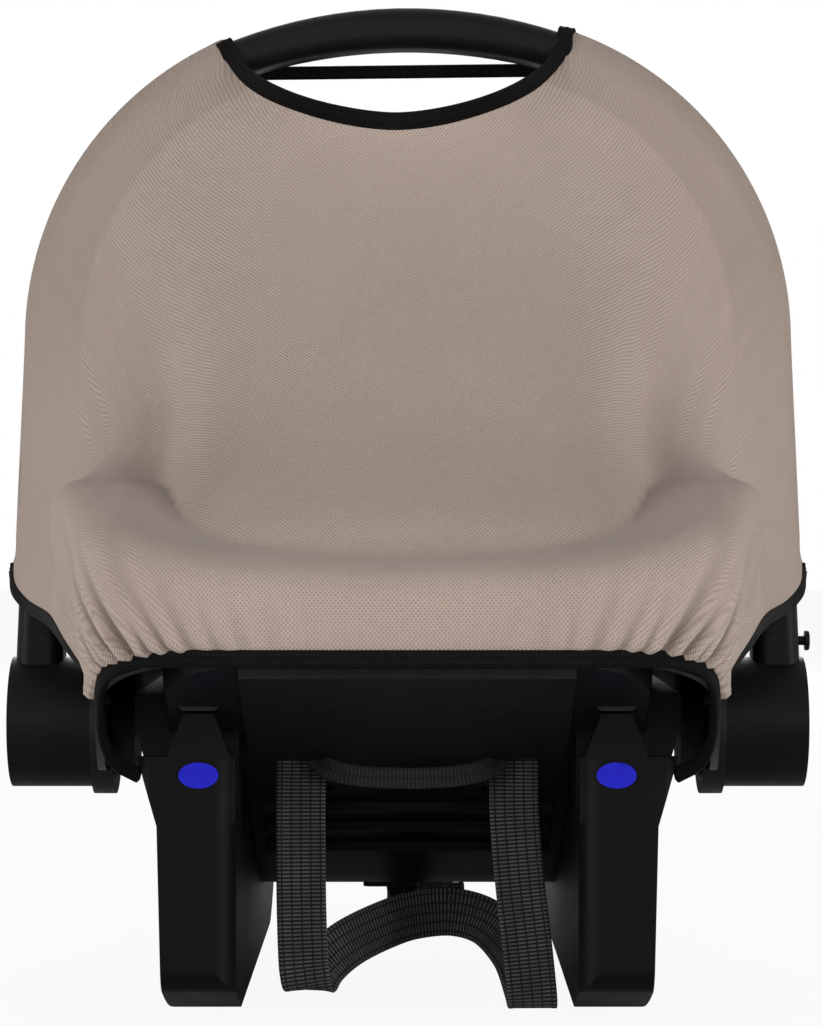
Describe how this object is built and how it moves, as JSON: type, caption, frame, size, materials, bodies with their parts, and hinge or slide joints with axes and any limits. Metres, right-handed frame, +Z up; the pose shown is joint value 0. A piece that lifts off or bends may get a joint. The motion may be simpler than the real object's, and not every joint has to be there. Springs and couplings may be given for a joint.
{
  "type": "infant car seat",
  "caption": "Infant car seat: moulded shell on two runners, hinged carry handle with push buttons, stretch canopy from handle to head end, padded liner and buckled harness.",
  "frame": {"origin": "on the floor under the middle of the seat, midway between its sides and between its head end and foot end", "axes": "+X to the right seen from behind the head end, +Y the way the occupant faces, from head end to foot end, +Z up"},
  "size_m": [0.4429, 0.6571, 0.5359],
  "materials": {
    "shell_plastic": "fine textured black",
    "handle_plastic": "satin black",
    "grey_nylon": "satin",
    "belt_blue": "matte",
    "release_red": "gloss",
    "canopy_fabric": "stretch mesh knit",
    "liner_fabric": "soft knit",
    "webbing": "ribbed webbing",
    "white_foam": "moulded foam",
    "steel": "zinc plated"
  },
  "bodies": {
    "shell": {"seat_shell": "shell_plastic", "left_runner": "shell_plastic", "right_runner": "shell_plastic", "runner_screws": "steel", "rear_belt_marks": "belt_blue", "lap_belt_marks": "belt_blue", "foam_base": "white_foam", "seat_liner": "liner_fabric", "body_cushion": "liner_fabric", "head_pillow": "liner_fabric", "hub_bolts": "steel", "hub_nuts": "steel", "canopy": "canopy_fabric", "harness_webbing": "webbing", "left_shoulder_pad": "liner_fabric", "right_shoulder_pad": "liner_fabric", "pad_tether": "webbing", "adjuster_strap": "webbing", "adjuster_housing": "shell_plastic", "adjuster_spring": "steel", "crotch_anchor": "steel", "crotch_strap": "webbing", "crotch_pad": "liner_fabric", "buckle_body": "shell_plastic", "buckle_spring": "steel", "left_button_spring": "steel", "right_button_spring": "steel"},
    "handle": {"handle_outer": "handle_plastic", "handle_inner": "handle_plastic", "left_hub_cap": "handle_plastic", "right_hub_cap": "handle_plastic", "canopy_peg": "handle_plastic"},
    "left_button": {"left_handle_button": "handle_plastic", "left_lock_gear": "grey_nylon"},
    "right_button": {"right_handle_button": "handle_plastic", "right_lock_gear": "grey_nylon"},
    "buckle_release": {"buckle_button": "release_red"},
    "buckle_tongues": {"left_tongue": "shell_plastic", "right_tongue": "shell_plastic"},
    "adjuster_release": {"adjuster_button": "grey_nylon"}
  },
  "joints": [
    {"name": "handle_pivot", "type": "hinge", "parent": "shell", "child": "handle", "pos_m": [0, 0, 0.14], "axis": [1, 0, 0], "range_deg": [0, 60], "deforming": ["canopy"]},
    {"name": "left_button_press", "type": "slide", "parent": "handle", "child": "left_button", "axis": [1, 0, 0], "range_m": [0, 0.008], "stiffness_N_per_m": 1500, "deforming": ["left_button_spring"]},
    {"name": "right_button_press", "type": "slide", "parent": "handle", "child": "right_button", "axis": [-1, 0, 0], "range_m": [0, 0.008], "stiffness_N_per_m": 1500, "deforming": ["right_button_spring"]},
    {"name": "buckle_press", "type": "slide", "parent": "shell", "child": "buckle_release", "axis": [0, -0.5, -0.866], "range_m": [0, 0.004], "stiffness_N_per_m": 6000, "deforming": ["buckle_spring"]},
    {"name": "tongue_slide", "type": "slide", "parent": "shell", "child": "buckle_tongues", "axis": [0, -0.866, 0.5], "range_m": [0, 0.024], "deforming": ["harness_webbing"]},
    {"name": "adjuster_press", "type": "slide", "parent": "shell", "child": "adjuster_release", "axis": [0, 0.4226, -0.9063], "range_m": [0, 0.005], "stiffness_N_per_m": 3000, "deforming": ["adjuster_spring"]}
  ]
}
